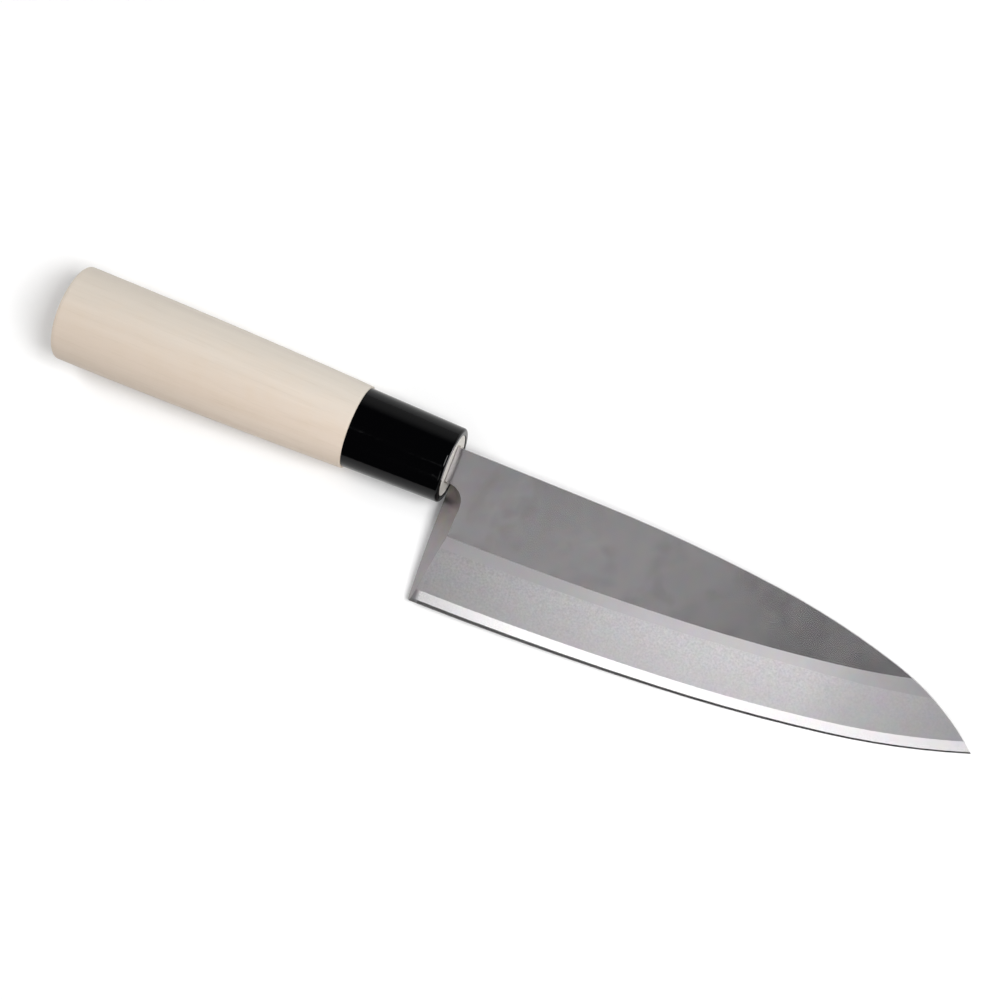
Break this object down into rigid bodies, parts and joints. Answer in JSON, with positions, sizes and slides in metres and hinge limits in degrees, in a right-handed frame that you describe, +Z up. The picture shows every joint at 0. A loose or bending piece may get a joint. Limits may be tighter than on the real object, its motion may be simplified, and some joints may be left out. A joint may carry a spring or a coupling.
{
  "type": "deba knife",
  "caption": "Heavy single-bevel fish knife with a broad pointed blade, a black resin ferrule and an oval wooden handle, lying on its flat side.",
  "frame": {"origin": "on the table, under the middle of the knife as it lies flat side down", "axes": "+X along the knife to the tip, -Y towards the edge and +Y towards the spine, +Z up off the table"},
  "size_m": [0.2886, 0.054, 0.0248],
  "materials": {
    "blade_steel": "satin-ground stainless steel",
    "handle_wood": "sanded bare magnolia",
    "ferrule_resin": "polished black resin",
    "tang_resin": "cured epoxy"
  },
  "bodies": {
    "root": {"blade": "blade_steel", "handle": "handle_wood", "ferrule": "ferrule_resin", "tang_resin": "tang_resin"}
  },
  "joints": []
}
